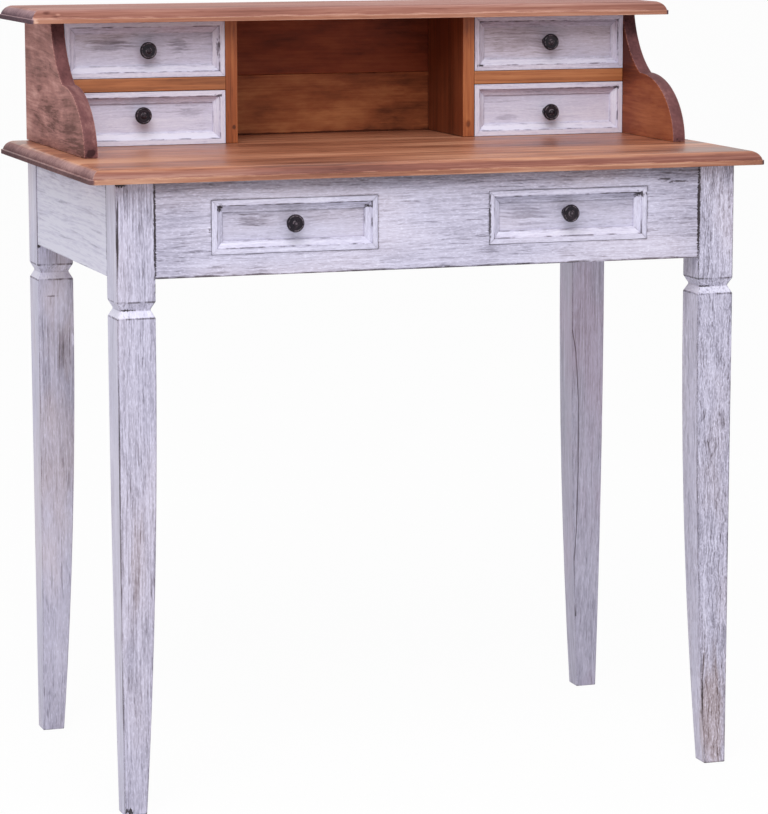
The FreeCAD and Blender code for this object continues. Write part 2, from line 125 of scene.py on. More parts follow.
class Shader:
    """Node tree of one material. Each call adds a node and returns the socket that carries its result."""

    def __init__(self, name):
        self.material = bpy.data.materials.new(name)
        self.material.use_nodes = True
        self.tree = self.material.node_tree
        self.tree.nodes.clear()

    def put(self, socket, value):
        if isinstance(value, bpy.types.NodeSocket):
            self.tree.links.new(value, socket)
        else:
            socket.default_value = value

    def node(self, kind, inputs, **settings):
        made = self.tree.nodes.new("ShaderNode" + kind)
        for name, value in settings.items():
            setattr(made, name, value)
        for key, value in inputs.items():
            self.put(made.inputs[key], value)
        return made

    def place(self):
        """Place on the piece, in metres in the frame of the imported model."""
        return self.node("TexCoord", {}).outputs["Object"]

    def parts(self, vector):
        return self.node("SeparateXYZ", {0: vector}).outputs

    def joined(self, x, y, z):
        return self.node("CombineXYZ", {0: x, 1: y, 2: z}).outputs[0]

    def vector(self, operation, first, second=(0.0, 0.0, 0.0), result="Vector"):
        made = self.node("VectorMath", {0: first, 1: second}, operation=operation)
        return made.outputs[result]

    def math(self, operation, first, second=0.0, third=0.0):
        inputs = {0: first, 1: second, 2: third}
        return self.node("Math", inputs, operation=operation).outputs[0]

    def product(self, *values):
        result = values[0]
        for value in values[1:]:
            result = self.math("MULTIPLY", result, value)
        return result

    def more(self, total, amount, weight):
        return self.math("MULTIPLY_ADD", amount, weight, total)

    def less(self, total, amount, weight=1.0):
        return self.math("MULTIPLY_ADD", amount, -weight, total)

    def sway(self, total, pattern, weight):
        """The total, moved up or down by a pattern that lies about one half."""
        return self.math("ADD", total, self.more(-0.5 * weight, pattern, weight))

    def evened(self, tone, base, share):
        """A calmer tone: a share of the given one, on a base."""
        return self.more(base, tone, share)

    def distance(self, value, middle):
        return self.math("ABSOLUTE", self.math("SUBTRACT", value, middle))

    def ramp(self, value, low, high, start=0.0, end=1.0):
        """Smooth step from start to end as the value goes from low to high."""
        inputs = {"Value": value, "From Min": low, "From Max": high, "To Min": start, "To Max": end}
        return self.node("MapRange", inputs, interpolation_type="SMOOTHSTEP").outputs[0]

    def fade(self, value, low, high, start=1.0):
        """Smooth step from start down to zero."""
        return self.ramp(value, low, high, start, 0.0)

    def noise(self, vector, scale, detail=4.0, roughness=0.55):
        inputs = {"Vector": vector, "Scale": scale, "Detail": detail, "Roughness": roughness}
        return self.node("TexNoise", inputs).outputs["Fac"]

    def broken(self, waves, *levels):
        """Noise between levels, by which a line of dirt comes and goes; waves are counted in a metre."""
        return self.ramp(self.noise(self.place(), waves), *levels)

    def strands(self, wood, along, across, detail, roughness):
        """Noise drawn out along the grain; along and across count its waves in a metre."""
        return self.noise(self.vector("MULTIPLY", wood, (along, across, across)), 1.0, detail, roughness)

    def wander(self, wood, along, across, reach):
        """Grain coordinates that sway sideways by up to about the reach, in metres."""
        stretched = self.vector("MULTIPLY", wood, (along, across, across))
        inputs = {"Vector": stretched, "Scale": 1.0, "Detail": WANDER_DETAIL}
        colour = self.node("TexNoise", inputs).outputs["Color"]
        offset = self.vector("SUBTRACT", colour, (0.5, 0.5, 0.5))
        return self.vector("ADD", wood, self.vector("MULTIPLY", offset, (0.0, reach, reach)))

    def mix(self, share, first, second):
        """Colour between two others; the mix node keeps its colours in sockets 6 and 7."""
        return self.node("Mix", {0: share, 6: first, 7: second}, data_type="RGBA").outputs[2]

    def bands(self, value, stops, colours):
        """Colour that passes from one to the next as the value goes from stop to stop."""
        made = self.node("ValToRGB", {0: value})
        steps = made.color_ramp.elements
        first, *middle, last = zip(stops, colours)
        steps[0].position, steps[0].color = first
        steps[1].position, steps[1].color = last
        for position, colour in middle:
            steps.new(position).color = colour
        return made.outputs[0]

    def arris(self, distance):
        """One on an outer edge of the piece, falling to zero at about that distance from it."""
        settings = {"inside": True, "only_local": True, "samples": OCCLUSION_SAMPLES}
        made = self.node("AmbientOcclusion", {"Distance": distance}, **settings)
        return self.math("SUBTRACT", 1.0, made.outputs["AO"])

    def crevice(self, distance):
        """One deep in an inner corner or a gap, zero on open faces."""
        made = self.node("AmbientOcclusion", {"Distance": distance}, samples=OCCLUSION_SAMPLES)
        return self.math("SUBTRACT", 1.0, made.outputs["AO"])

    def facing(self, way, low=0.5, high=0.8):
        """One where the surface faces that way; low and high are cosines where it begins and is full."""
        normal = self.node("NewGeometry", {}).outputs["Normal"]
        return self.ramp(self.vector("DOT_PRODUCT", normal, way, "Value"), low, high)

    def marks(self, spots, ragged):
        """Sum of soft marks, each a centre, three half widths and a strength; noise makes them ragged."""
        total = 0.0
        for centre, reach, strength in spots:
            offset = self.vector("DIVIDE", self.vector("SUBTRACT", self.place(), centre), reach)
            away = self.sway(self.vector("LENGTH", offset, result="Value"), ragged, MARK_RAGGEDNESS)
            total = self.math("ADD", total, self.fade(away, MARK_CORE, 1.0, strength))
        return total

    def output(self, surface):
        self.node("OutputMaterial", {"Surface": surface})
        return self.material

    def finish(self, colour, roughness, height, relief, gloss=0.5, metallic=0.0):
        """Principled surface with bump; relief is the depth of the height pattern in metres."""
        bump = self.node("Bump", {"Strength": 1.0, "Distance": relief, "Height": height})
        inputs = {"Base Color": colour, "Roughness": roughness, "Normal": bump.outputs[0]}
        constants = {"Specular IOR Level": gloss, "Metallic": metallic}
        return self.output(self.node("BsdfPrincipled", inputs | constants).outputs[0])


def along(shader, axis, shift):
    """Grain coordinates: the first along the grain, the others across it; shift moves to fresh wood."""
    offset = tuple(shift * share for share in FRESH_WOOD_SHARES)
    x, y, z = shader.parts(shader.vector("ADD", shader.place(), offset))
    ways = {"X": (x, y, z), "Y": (y, x, z), "Z": (z, x, y)}
    return shader.joined(*ways[axis])


def lengthways(axis):
    """Grain straight along one axis of the frame."""
    return lambda shader, shift: along(shader, axis, shift)


def past_edges(shader, node):
    """How far a place lies past a drawer front's upright and level edges; below zero inside."""
    low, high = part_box(node)
    middle = (low + high) / 2
    half = (high - low) / 2
    place = shader.parts(shader.place())
    past_x = shader.math("SUBTRACT", shader.distance(place["X"], middle.x), half.x)
    past_z = shader.math("SUBTRACT", shader.distance(place["Z"], middle.z), half.z)
    return past_x, past_z


def mitred(node):
    """Grain along each strip of a mitred moulding, turning at the mitres."""
    def grain(shader, shift):
        past_x, past_z = past_edges(shader, node)
        upright = shader.math("GREATER_THAN", past_x, past_z)
        inputs = {0: upright, 4: along(shader, "X", shift), 5: along(shader, "Z", shift)}
        return shader.node("Mix", inputs, data_type="VECTOR").outputs[1]
    return grain


def soften(piece, width):
    """Rounds the sharp arrises of a CAD piece by modifiers, its mesh unchanged."""
    weld = piece.modifiers.new("weld", "WELD")
    weld.merge_threshold = WELD_GAP
    clean = piece.modifiers.new("flat faces", "DECIMATE")
    clean.decimate_type = "DISSOLVE"
    clean.angle_limit = FLAT_ANGLE
    round_over = piece.modifiers.new("arris", "BEVEL")
    round_over.width = width
    round_over.segments = ARRIS_STEPS
    round_over.limit_method = "ANGLE"
    round_over.angle_limit = SHARP_ANGLE


def dress(node, material, width=ARRIS_WIDTH):
    """Gives a CAD piece its material and, unless the width is zero, rounded arrises."""
    piece = frame["nodes"][node]
    piece.data.materials.clear()
    piece.data.materials.append(material)
    if width:
        soften(piece, width)


# Whitewash, from bare grey wood at zero to thick paint at one
WASH_STOPS = (0.0, 0.22, 0.40, 0.55, 0.68, 0.82, 1.0)
WASH_COOL = palette(
    (54, 47, 54), (106, 100, 112), (141, 137, 155), (168, 164, 185), (192, 188, 209), (209, 206, 228),
    (226, 224, 241),
)
WASH_WARM = palette(
    (62, 48, 48), (116, 100, 102), (151, 136, 143), (176, 163, 172), (197, 186, 199), (213, 205, 220),
    (228, 222, 235),
)
WASH_MAUVE = palette(
    (60, 46, 54), (114, 98, 109), (149, 133, 151), (174, 160, 180), (195, 183, 206), (211, 203, 226),
    (227, 221, 239),
)

# Patterns of the whitewash: waves in a metre along and across the grain, octaves and roughness
WASH_PATCH = (4.0, 11.0, 3.0, 0.5)
WASH_BRUSH = (8.0, 80.0, 5.0, 0.62)
WASH_STREAK = (12.0, 420.0, 2.0, 0.5)
WASH_HAIR = (130.0, 660.0, 2.0, 0.5)
WASH_STROKE = (36.0, 500.0, 2.0, 0.5)
WASH_FLECK = (200.0, 600.0, 1.0, 0.5)

# Sway of its grain: waves in a metre along and across, and reach
WASH_WANDER = (3.0, 9.0, 0.014)
WASH_SWIRL_WAVES = (30.0, 24.0)

# Levels between which each of its patterns comes in, some with the amounts at both levels
STROKE_LEVELS = (0.55, 0.68)
STROKE_AREAS = (0.40, 0.60, 1.0, 0.35)
FLECK_LEVELS = (0.56, 0.70)
WASH_RUBBED_LEVELS = (0.12, 0.36)
WASH_RUBBED_AREAS = (0.36, 0.58)
GRIME_AND_SHADE_LEVELS = (0.30, 0.75)
WARM_LEVELS = (0.42, 0.64)
WASH_ROUGHNESS = (0.2, 0.8, 0.72, 0.52)

# How much paint each of its patterns moves
PATCH_SWAY = 0.32
BRUSH_SWAY = 0.26
STREAK_SWAY = 0.7
HAIR_SWAY = 0.6
STROKE_LOSS = 0.20
FLECK_GAIN = 0.10
BLUSH_LOSS = 0.12

# Reach of its rubbed edges and of hollows darkened by grime and painted shade, depth of its relief and the
# thickest paint that adds to it
WASH_EDGE = 0.003
WASH_HOLLOW = 0.002
WASH_RELIEF = 0.0004
THICKEST_PAINT = 1.2


def whitewash(name, grain, shift, cover=0.62, hairs=1.0, strokes=1.0, warmth=0.4, wear=0.5, grime_and_shade=0.3,
              run=1.0, fine=1.0, swirl=0.0, calm=0.0, pale=0.0, shade=None, spots=(), patches=(),
              blush=(), warm=WASH_WARM):
    """Thin white paint brushed along the grain, worn through in strokes and at the edges, darker in
    hollows by grime and painted shade.

    Run draws the brushwork out, fine narrows it and swirl curls it. On faces that look left calm quiets
    it, and pale lightens them as painted light. Spots and the softer patches take paint off, and blush
    warms it.
    """
    shader = Shader(name)
    wood = shader.wander(grain(shader, shift), *WASH_WANDER)
    if swirl:
        wood = shader.wander(wood, *WASH_SWIRL_WAVES, swirl)

    def brushwork(along_waves, across_waves, detail, roughness):
        return shader.strands(wood, along_waves / run, across_waves * fine, detail, roughness)

    patch = shader.strands(wood, *WASH_PATCH)
    brush = shader.strands(wood, *WASH_BRUSH)
    streak = brushwork(*WASH_STREAK)
    hair = brushwork(*WASH_HAIR)
    stroke = brushwork(*WASH_STROKE)
    fleck = brushwork(*WASH_FLECK)

    worn = shader.product(shader.ramp(stroke, *STROKE_LEVELS), shader.ramp(brush, *STROKE_AREAS))
    texture = shader.less(shader.sway(0.0, hair, HAIR_SWAY * hairs), worn, STROKE_LOSS * strokes)
    texture = shader.more(texture, shader.ramp(fleck, *FLECK_LEVELS), FLECK_GAIN * strokes)
    left = shader.facing(LEFT)
    quiet = shader.less(1.0, left, calm)
    paint = shader.sway(shader.sway(cover, patch, PATCH_SWAY), brush, BRUSH_SWAY)
    paint = shader.sway(paint, streak, STREAK_SWAY * hairs)
    # Painted light: faces that look left are lightened by pale
    paint = shader.more(paint, left, pale)
    paint = shader.more(paint, texture, quiet)
    edges = shader.ramp(shader.arris(WASH_EDGE), *WASH_RUBBED_LEVELS)
    paint = shader.less(paint, shader.product(edges, shader.ramp(brush, *WASH_RUBBED_AREAS)), wear)
    # Grime and painted shade: less paint in hollows and gaps, by how enclosed they are
    paint = shader.less(paint, shader.ramp(shader.crevice(WASH_HOLLOW), *GRIME_AND_SHADE_LEVELS), grime_and_shade)
    if shade:
        paint = shade(shader, paint)
    paint = shader.math("SUBTRACT", paint, shader.marks(spots, fleck))
    paint = shader.math("SUBTRACT", paint, shader.marks(patches, streak))
    warmed = shader.marks(blush, brush)
    paint = shader.less(paint, warmed, BLUSH_LOSS)

    tint = shader.math("ADD", shader.ramp(patch, *WARM_LEVELS, 0.0, warmth), warmed)
    tint = shader.math("MINIMUM", tint, 1.0)
    cool_paint = shader.bands(paint, WASH_STOPS, WASH_COOL)
    colour = shader.mix(tint, cool_paint, shader.bands(paint, WASH_STOPS, warm))
    height = shader.math("MINIMUM", paint, THICKEST_PAINT)
    return shader.finish(colour, shader.ramp(paint, *WASH_ROUGHNESS), height, WASH_RELIEF)


# Brown varnished wood: dark, middle and light colour of each kind of board
BROWN_STOPS = (0.0, 0.5, 1.0)
DESK_BOARD = palette((108, 62, 48), (178, 114, 86), (214, 158, 126))
DESK_ROUND = palette((84, 43, 37), (139, 86, 74), (184, 136, 118))
DESK_LIP = palette((104, 60, 46), (164, 110, 88), (206, 162, 138))
DESK_END = palette((72, 47, 50), (120, 88, 89), (182, 145, 142))
HUTCH_BOARD = palette((118, 76, 70), (174, 124, 114), (210, 168, 158))
HUTCH_ROUND = palette((96, 54, 48), (155, 104, 91), (200, 152, 134))
HUTCH_LIP = palette((112, 66, 52), (174, 121, 100), (214, 172, 152))
HUTCH_END = palette((64, 49, 57), (112, 88, 96), (182, 150, 154))
SHELF_BOARD = palette((112, 62, 36), (176, 110, 70), (206, 144, 96))
DIVIDER_BOARD = palette((90, 42, 20), (154, 82, 44), (196, 124, 76))
# Dividers' faces towards the pigeonhole, darker as painted shade
DIVIDER_INNER_SHADED = palette((66, 28, 15), (124, 62, 38), (164, 96, 60))
BACK_UPPER = palette((72, 26, 16), (140, 66, 40), (176, 100, 62))
BACK_LOWER = palette((84, 38, 20), (156, 86, 52), (192, 122, 78))
# The outer face's paler, greyer colour is partly painted sheen
PANEL_OUTER = palette((100, 52, 44), (172, 118, 111), (220, 170, 160))
PANEL_EDGE = palette((58, 32, 35), (118, 76, 77), (176, 130, 124))
PANEL_INNER = palette((86, 37, 23), (146, 77, 50), (186, 113, 74))

# Patterns of the brown wood, as for the whitewash, and waves in a metre of its grain's sway
BROWN_SLOW = (2.5, 12.0, 3.0, 0.5)
BROWN_RINGS = (3.0, 70.0, 5.0, 0.6)
BROWN_FIBRE = (6.0, 260.0, 5.0, 0.62)
BROWN_PORES = (26.0, 480.0, 3.0, 0.6)
BROWN_CLOUD = (12.0, 38.0, 5.0, 0.6)
BROWN_VEIN = (18.0, 240.0, 5.0, 0.65)
BROWN_WAVES = (2.4, 7.0)

# Levels between which each of its patterns comes in
PORE_LEVELS = (0.56, 0.70)
PORE_DENTS = (0.55, 0.75, 0.0, 0.6)
BROWN_RUBBED_GLINT_LEVELS = (0.14, 0.40)
BROWN_RUBBED_GLINT_AREAS = (0.44, 0.58)
HOLLOW_SHADE_LEVELS = (0.36, 0.85)
VEIN_LEVELS = (0.42, 0.64)
SHINE_LEVELS = (0.3, 0.7)

# Its tone, how much each of its patterns moves that, and the roughness about the shine
MIDDLE_TONE = 0.5
SLOW_SWAY = 1.2
RING_SWAY = 0.6
FIBRE_SWAY = 1.4
PORE_LOSS = 0.22
HOLLOW_SHADE_LOSS = 0.6
SHINE_BELOW = 0.05
SHINE_ABOVE = 0.06

# Reach of its rubbed edges, which stand in for highlights too, and of its hollows darkened by painted
# shade and grime, and depth of its grain
BROWN_EDGE = 0.0028
BROWN_HOLLOW = 0.006
BROWN_RELIEF = 0.00009


def grade(shader, tone, colours):
    """Colour of a board whose tone goes from zero, dark, to one, light."""
    return shader.bands(tone, BROWN_STOPS, colours)


def ends(shader):
    """One on faces that look to the left or right."""
    return shader.math("ADD", shader.facing(LEFT, *SLOPING), shader.facing(RIGHT, *SLOPING))


def brown(name, grain, shift, colours, contrast=1.0, fibres=1.0, mottle=0.0, waves=0.010, wear=0.4,
          shine=0.40, gloss=0.4, dull_ends=False, spots=(), veins=()):
    """Satin varnished wood: wandering rings, fine fibres, dark pores, paler edges of wear and painted
    highlight, painted shade in hollows.

    Colours is a function from tone to colour. Spots darken the tone, veins do so in fine streaks.
    """
    shader = Shader(name)
    wood = shader.wander(grain(shader, shift), *BROWN_WAVES, waves)
    slow = shader.strands(wood, *BROWN_SLOW)
    rings = shader.strands(wood, *BROWN_RINGS)
    fibre = shader.strands(wood, *BROWN_FIBRE)
    pores = shader.strands(wood, *BROWN_PORES)
    cloud = shader.strands(wood, *BROWN_CLOUD)

    tone = shader.sway(MIDDLE_TONE, slow, SLOW_SWAY * contrast)
    tone = shader.sway(tone, rings, RING_SWAY * contrast)
    tone = shader.sway(tone, fibre, FIBRE_SWAY * fibres)
    tone = shader.sway(tone, cloud, mottle)
    tone = shader.less(tone, shader.ramp(pores, *PORE_LEVELS), PORE_LOSS * fibres)
    # Paler rubbed arrises, which also stand in for highlights and glints along the edges
    edges = shader.ramp(shader.arris(BROWN_EDGE), *BROWN_RUBBED_GLINT_LEVELS)
    tone = shader.more(tone, shader.product(edges, shader.ramp(pores, *BROWN_RUBBED_GLINT_AREAS)), wear)
    # Painted shade and grime: darker in hollows
    tone = shader.less(tone, shader.ramp(shader.crevice(BROWN_HOLLOW), *HOLLOW_SHADE_LEVELS), HOLLOW_SHADE_LOSS)
    tone = shader.math("SUBTRACT", tone, shader.marks(spots, cloud))
    if veins:
        vein = shader.ramp(shader.strands(wood, *BROWN_VEIN), *VEIN_LEVELS)
        tone = shader.less(tone, shader.product(vein, shader.marks(veins, slow)))

    height = shader.math("SUBTRACT", rings, shader.ramp(pores, *PORE_DENTS))
    roughness = shader.ramp(slow, *SHINE_LEVELS, shine - SHINE_BELOW, shine + SHINE_ABOVE)
    if dull_ends:
        roughness = shader.math("MAXIMUM", roughness, ends(shader))
    return shader.finish(colours(shader, tone), roughness, height, BROWN_RELIEF, gloss)


# Bare wood of the drawer boxes and runners
BARE_LIGHT = srgb(196, 164, 124)
BARE_DARK = srgb(150, 112, 76)
BARE_STAIN = srgb(108, 78, 54)
BARE_RINGS = (3.0, 70.0, 4.0, 0.6)
BARE_FIBRE = (22.0, 460.0, 3.0, 0.6)
BARE_STAIN_NOISE = (7.0, 3.0)
BARE_RING_LEVELS = (0.35, 0.68)
BARE_FIBRE_LEVELS = (0.5, 0.8, 0.0, 0.35)
BARE_STAIN_LEVELS = (0.52, 0.75, 0.0, 0.5)
BARE_ROUGHNESS = (0.3, 0.7, 0.66, 0.82)
BARE_RELIEF = 0.0002
BARE_LONG_SHIFT = 0.4
BARE_CROSS_SHIFT = 0.8


def bare(name, grain, shift):
    """Sawn softwood, not painted, stained in places."""
    shader = Shader(name)
    wood = grain(shader, shift)
    rings = shader.strands(wood, *BARE_RINGS)
    fibre = shader.strands(wood, *BARE_FIBRE)
    stain = shader.noise(wood, *BARE_STAIN_NOISE)
    colour = shader.mix(shader.ramp(rings, *BARE_RING_LEVELS), BARE_LIGHT, BARE_DARK)
    colour = shader.mix(shader.ramp(fibre, *BARE_FIBRE_LEVELS), colour, BARE_STAIN)
    colour = shader.mix(shader.ramp(stain, *BARE_STAIN_LEVELS), colour, BARE_STAIN)
    height = shader.math("ADD", fibre, rings)
    return shader.finish(colour, shader.ramp(fibre, *BARE_ROUGHNESS), height, BARE_RELIEF)


# Iron of the knobs, with painted highlights on its rings and button; the rings and their soft borders are
# shares of the knob's radius
IRON_DARK = srgb(18, 11, 24)
IRON_RUBBED = srgb(56, 43, 52)
IRON_HIGHLIGHT = srgb(138, 124, 134)
IRON_DUST = srgb(92, 80, 84)
IRON_GRAIN = (900.0, 4.0, 0.6)
IRON_PATCH = (140.0, 3.0)
IRON_HIGHLIGHT_BREAKS = (220.0, 2.0)
IRON_PATCH_LEVELS = (0.4, 0.7, 0.0, 0.5)
IRON_HIGHLIGHT_BREAK_LEVELS = (0.44, 0.58)
IRON_DUST_LEVELS = (0.4, 0.9, 0.0, 0.35)
IRON_ROUGHNESS = (0.3, 0.7, 0.10, 0.22)
IRON_BUTTON_SHARES = (0.05, 0.20)
IRON_RING_SHARES = (0.33, 0.82)
IRON_CREST_SHARES = (0.02, 0.08)
IRON_HIGHLIGHT_WEIGHT = 0.5
IRON_HOLLOW = 0.003
IRON_GLOSS = 0.24
IRON_RELIEF = 0.00006


def iron(name, node):
    """Dark waxed cast iron of a knob, rubbed brown, with painted highlights on raised rings, dusty in its
    hollows.
    """
    low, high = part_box(node)
    axis = (low + high) / 2
    radius = (high.x - low.x) / 2
    button = [share * radius for share in IRON_BUTTON_SHARES]
    crest = [share * radius for share in IRON_CREST_SHARES]
    shader = Shader(name)
    place = shader.place()
    grain = shader.noise(place, *IRON_GRAIN)
    patch = shader.ramp(shader.noise(place, *IRON_PATCH), *IRON_PATCH_LEVELS)
    highlight_breaks = shader.ramp(shader.noise(place, *IRON_HIGHLIGHT_BREAKS), *IRON_HIGHLIGHT_BREAK_LEVELS)
    dust = shader.ramp(shader.crevice(IRON_HOLLOW), *IRON_DUST_LEVELS)
    from_axis = shader.parts(shader.vector("SUBTRACT", place, axis))
    spoke = shader.joined(from_axis["X"], 0.0, from_axis["Z"])
    out = shader.vector("LENGTH", spoke, result="Value")
    highlight_rings = shader.fade(out, *button)
    for share in IRON_RING_SHARES:
        ring = shader.fade(shader.distance(out, share * radius), *crest)
        highlight_rings = shader.math("MAXIMUM", highlight_rings, ring)
    colour = shader.mix(patch, IRON_DARK, IRON_RUBBED)
    # Painted highlights on the button and raised rings, broken by noise
    colour = shader.mix(shader.product(highlight_rings, highlight_breaks, IRON_HIGHLIGHT_WEIGHT), colour, IRON_HIGHLIGHT)
    colour = shader.mix(dust, colour, IRON_DUST)
    return shader.finish(colour, shader.ramp(grain, *IRON_ROUGHNESS), grain, IRON_RELIEF, IRON_GLOSS)


# Steel of the screws
STEEL_PLAIN = srgb(150, 148, 144)
STEEL_STAIN = srgb(104, 88, 74)
STEEL_GRAIN = (700.0, 3.0)
STEEL_STAIN_NOISE = (160.0, 3.0)
STEEL_STAIN_LEVELS = (0.5, 0.7, 0.0, 0.7)
STEEL_ROUGHNESS = (0.3, 0.7, 0.3, 0.5)
STEEL_METALLIC = 0.9
STEEL_RELIEF = 0.00005


def steel(name):
    """Plain steel screws with a little rust."""
    shader = Shader(name)
    grain = shader.noise(shader.place(), *STEEL_GRAIN)
    stain = shader.ramp(shader.noise(shader.place(), *STEEL_STAIN_NOISE), *STEEL_STAIN_LEVELS)
    colour = shader.mix(stain, STEEL_PLAIN, STEEL_STAIN)
    roughness = shader.ramp(grain, *STEEL_ROUGHNESS)
    return shader.finish(colour, roughness, grain, STEEL_RELIEF, metallic=STEEL_METALLIC)


# Legs: heights of the neck's two arrises, and where the dirt on them and a crack are full and end
NECK_ARRISES = (0.641, 0.6615)
NECK_LINE = (0.0004, 0.0018)
NECK_LOSS = 0.40
NECK_BREAKS = (90.0, 0.36, 0.56)
# Cosines and strength of the painted light on the neck's upward slopes
NECK_SLOPES = (0.3, 0.45)
NECK_SLOPE_LIGHT = 0.25
CRACK_LINE = (0.0002, 0.0012)
CRACK_LOSS = 0.45

# Joint lines beside the aprons, rubbed arrises, worn places and, with strengths below zero, paler ones
# Pale lightens each leg's faces that look left, as painted light
LEG_LOOKS = {
    "leg_front_left": dict(
        shift=0.31, cover=0.65, hairs=0.75, strokes=1.1, warmth=0.3, calm=0.5, pale=0.10,
        spots=(
            ((-0.413, -0.244, 0.81), (0.008, 0.004, 0.004), 0.9),
            ((-0.3705, -0.244, 0.75), (0.0014, 0.01, 0.075), 0.8),
            ((-0.406, -0.2385, 0.6515), (0.012, 0.006, 0.0014), 0.9),
            ((-0.42, -0.1925, 0.75), (0.006, 0.0016, 0.09), 0.5),
            ((-0.4119, -0.243, 0.006), (0.006, 0.006, 0.005), 0.8),
        ),
        patches=(
            ((-0.4185, -0.244, 0.742), (0.0022, 0.005, 0.06), 1.0),
            ((-0.4195, -0.2435, 0.33), (0.0012, 0.004, 0.28), 0.5),
            ((-0.396, -0.243, 0.35), (0.03, 0.01, 0.1), 0.08),
            ((-0.396, -0.2435, 0.806), (0.06, 0.006, 0.055), 0.13),
            ((-0.396, -0.243, 0.22), (0.06, 0.01, 0.12), 0.035),
        ),
        blush=(((-0.396, -0.243, 0.33), (0.014, 0.01, 0.08), 0.35),),
    ),
    "leg_front_right": dict(
        shift=1.27, cover=0.64, hairs=1.1, strokes=1.7, wear=0.8, run=0.7, fine=1.1, swirl=0.010, calm=0.6,
        pale=0.09,
        spots=(
            ((0.3705, -0.244, 0.755), (0.0016, 0.01, 0.07), 0.9),
            ((0.38, -0.2385, 0.651), (0.012, 0.006, 0.0014), 0.8),
        ),
        patches=(
            ((0.385, -0.243, 0.1), (0.0014, 0.004, 0.08), 0.4),
            ((0.395, -0.243, 0.37), (0.03, 0.01, 0.11), 0.06),
            ((0.396, -0.2435, 0.812), (0.06, 0.006, 0.06), 0.1),
            ((0.395, -0.243, 0.1), (0.06, 0.012, 0.16), 0.045),
        ),
        blush=(((0.4, -0.243, 0.06), (0.03, 0.01, 0.11), 0.75),),
    ),
    "leg_rear_left": dict(
        shift=2.43, cover=0.64, hairs=0.6, run=1.5, warmth=0.8, wear=0.4, calm=0.4, pale=0.12,
        spots=(
            ((-0.4, 0.204, 0.618), (0.01, 0.004, 0.0012), 0.4),
            ((-0.4174, 0.204, 0.6879), (0.003, 0.004, 0.004), 0.8),
            ((-0.42, 0.229, 0.75), (0.01, 0.03, 0.08), -0.12),
            ((-0.3713, 0.206, 0.5553), (0.0022, 0.006, 0.016), -0.35),
        ),
        patches=(
            ((-0.386, 0.206, 0.545), (0.013, 0.01, 0.04), 0.14),
            ((-0.39, 0.206, 0.44), (0.06, 0.012, 0.17), 0.06),
            ((-0.395, 0.205, 0.606), (0.06, 0.01, 0.042), -0.08),
            ((-0.395, 0.21, 0.2), (0.04, 0.014, 0.22), -0.07),
            ((-0.397, 0.2115, 0.05), (0.06, 0.016, 0.09), -0.07),
        ),
        blush=(((-0.386, 0.206, 0.545), (0.018, 0.01, 0.06), 0.4),),
    ),
    "leg_rear_right": dict(
        shift=3.71, cover=0.63, hairs=0.6, strokes=0.6, run=1.5, warmth=1.0, wear=0.3, calm=0.4, pale=0.06,
        patches=(
            ((0.398, 0.206, 0.57), (0.018, 0.012, 0.09), 0.05),
            ((0.372, 0.206, 0.42), (0.012, 0.012, 0.07), -0.05),
            ((0.408, 0.211, 0.06), (0.012, 0.012, 0.09), 0.05),
        ),
        warm=WASH_MAUVE,
    ),
}
LEG_CRACKS = {
    "leg_rear_right": (
        (0.3682, 0.6300), (0.3703, 0.5394), (0.3766, 0.5037), (0.3814, 0.4355), (0.3827, 0.3255),
        (0.3818, 0.2357), (0.3792, 0.1905), (0.3811, 0.1297), (0.3842, 0.1082),
    ),
}


def worn_leg(crack):
    """Leg with painted light on its neck's upward slopes, dirt along the neck's arrises and a crack down
    its front.

    The crack runs straight from point to point, each an x and a z, from the top down.
    """
    def shade(shader, paint):
        # Painted light on the slopes that look up
        paint = shader.more(paint, shader.facing(UP, *NECK_SLOPES), NECK_SLOPE_LIGHT)
        broken = shader.broken(*NECK_BREAKS)
        place = shader.parts(shader.place())
        for arris in NECK_ARRISES:
            line = shader.fade(shader.distance(place["Z"], arris), *NECK_LINE)
            paint = shader.less(paint, shader.product(broken, line), NECK_LOSS)
        front = shader.facing(FRONT)
        for (top_x, top_z), (foot_x, foot_z) in zip(crack, crack[1:]):
            slope = (foot_x - top_x) / (foot_z - top_z)
            middle = shader.more(top_x - slope * top_z, place["Z"], slope)
            below_top = shader.math("LESS_THAN", place["Z"], top_z)
            above_foot = shader.math("GREATER_THAN", place["Z"], foot_z)
            line = shader.fade(shader.distance(place["X"], middle), *CRACK_LINE)
            line = shader.product(front, shader.product(below_top, above_foot), line)
            paint = shader.less(paint, line, CRACK_LOSS)
        return paint
    return shade


def dress_legs():
    for node, look in LEG_LOOKS.items():
        shade = worn_leg(LEG_CRACKS.get(node, ()))
        dress(node, whitewash("whitewash_" + node, lengthways("Z"), shade=shade, **look))


# Aprons: height of the strip of painted shadow below the desk top, distance from the middle where the ends
# grow dull, where the dark lines along the foot and beside a leg are full and end, and how the foot's line
# wavers
UNDER_TOP_SHADOW = 0.024
UNDER_TOP_SHADOW_LOSS = 0.33
APRON_ENDS = (0.29, 0.36)
APRON_ENDS_LOSS = 0.09
FOOT_LINE = (0.0008, 0.0028)
FOOT_LOSS = 0.47
FOOT_BREAKS = (45.0, 0.38, 0.58, 0.35, 1.0)
FOOT_WAVER = 0.008
FOOT_WAVER_NOISE = (24.0, 2.0)
FOOT_UNDERSIDE = (0.3, 0.8)
JOINT_LINE = (0.0035, 0.0080)
JOINT_LOSS = 0.6
JOINT_BREAKS = (40.0, 0.32, 0.52, 0.3, 1.0)

